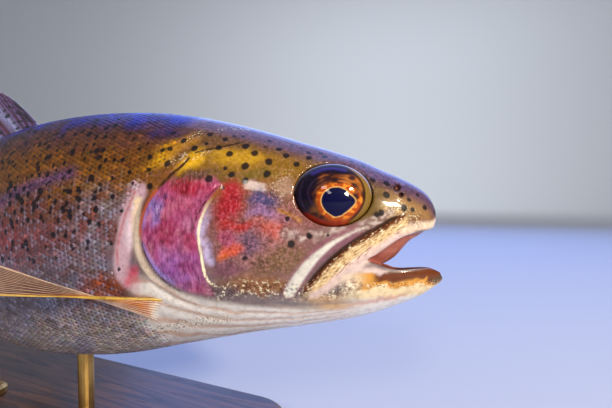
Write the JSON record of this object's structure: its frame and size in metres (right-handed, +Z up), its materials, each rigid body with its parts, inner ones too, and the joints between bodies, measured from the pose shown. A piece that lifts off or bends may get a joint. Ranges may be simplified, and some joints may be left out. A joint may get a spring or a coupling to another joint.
{
  "type": "rainbow trout",
  "caption": "Life-size rainbow trout swimming with its mouth a little open, a still museum-style model held by two short rods over a flat base.",
  "frame": {"origin": "centre of the part's bounding box in plan, on the plane that the base stands on", "axes": "+X is the way the fish swims, its longest extent; +Y is its left side; +Z is up"},
  "size_m": [0.4, 0.116, 0.1608],
  "materials": {
    "head_skin": "wet olive-gold skin with dark spots",
    "lip_skin": "wet golden-tan skin, cream below",
    "mouth_lining": "wet pink flesh",
    "gill_cover_skin": "wet magenta-pink skin, mottled with lavender",
    "eye": "clear domed cornea over a copper iris and a blue-black pupil",
    "body_skin": "wet small scales, olive-gold above, mauve on the flank, white below",
    "spotted_fin": "rayed fin with dark spots",
    "amber_fin": "amber rayed fin",
    "dark_wood": "satin dark walnut",
    "rod_metal": "satin brass"
  },
  "bodies": {
    "root": {"head": "head_skin", "lower_jaw": "lip_skin", "tongue": "mouth_lining", "maxilla_right": "lip_skin", "maxilla_left": "lip_skin", "gill_cover_right": "gill_cover_skin", "gill_cover_left": "gill_cover_skin", "eye_right": "eye", "eye_left": "eye", "trunk": "body_skin", "tail_stalk": "body_skin", "dorsal_fin": "spotted_fin", "adipose_fin": "spotted_fin", "tail_fin": "spotted_fin", "anal_fin": "amber_fin", "pectoral_fin_right": "amber_fin", "pectoral_fin_left": "amber_fin", "pelvic_fin_right": "amber_fin", "pelvic_fin_left": "amber_fin", "stand_base": "dark_wood", "stand_rod_front": "rod_metal", "stand_rod_rear": "rod_metal"}
  },
  "joints": []
}
